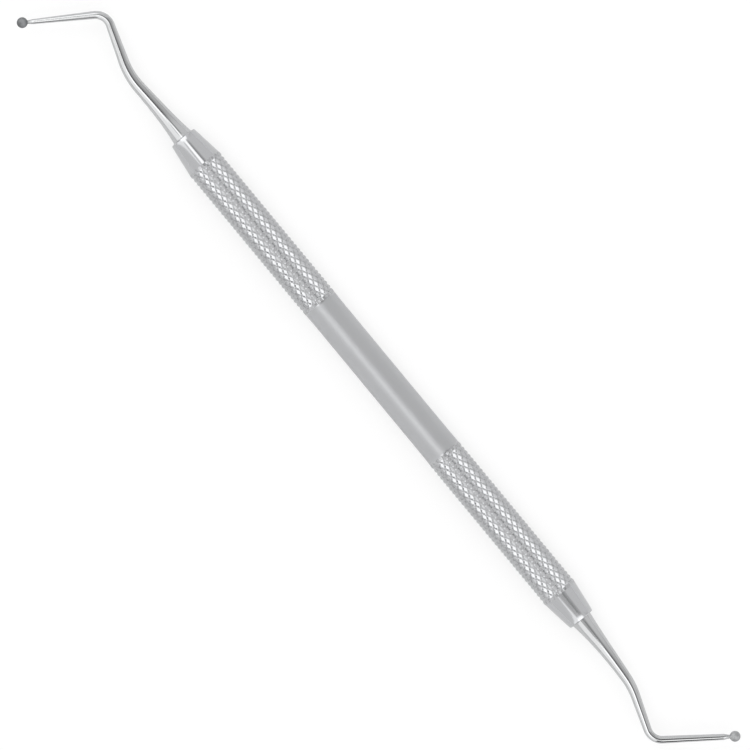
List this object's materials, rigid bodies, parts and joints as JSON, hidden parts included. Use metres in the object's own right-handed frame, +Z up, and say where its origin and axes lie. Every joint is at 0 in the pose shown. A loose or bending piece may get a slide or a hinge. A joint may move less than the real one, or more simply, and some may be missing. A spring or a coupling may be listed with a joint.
{
  "type": "dental spoon excavator",
  "caption": "Slim double-ended hand tool: knurled round bar handle with a smooth waist, and a twice-bent tapering shank ending in a tiny hollowed disc at each end.",
  "frame": {"origin": "on the table under the middle of the handle", "axes": "+X along the handle from the tip whose hollow face looks up to the tip whose round back looks up, +Y level, towards the side that the +X tip hooks to, +Z up"},
  "size_m": [0.1665, 0.0172, 0.0063],
  "materials": {
    "satin_steel": "satin, turned, with a fine diamond knurl",
    "polished_steel": "mirror polished"
  },
  "bodies": {
    "root": {"handle": "satin_steel", "left_tip": "polished_steel", "right_tip": "polished_steel"}
  },
  "joints": []
}
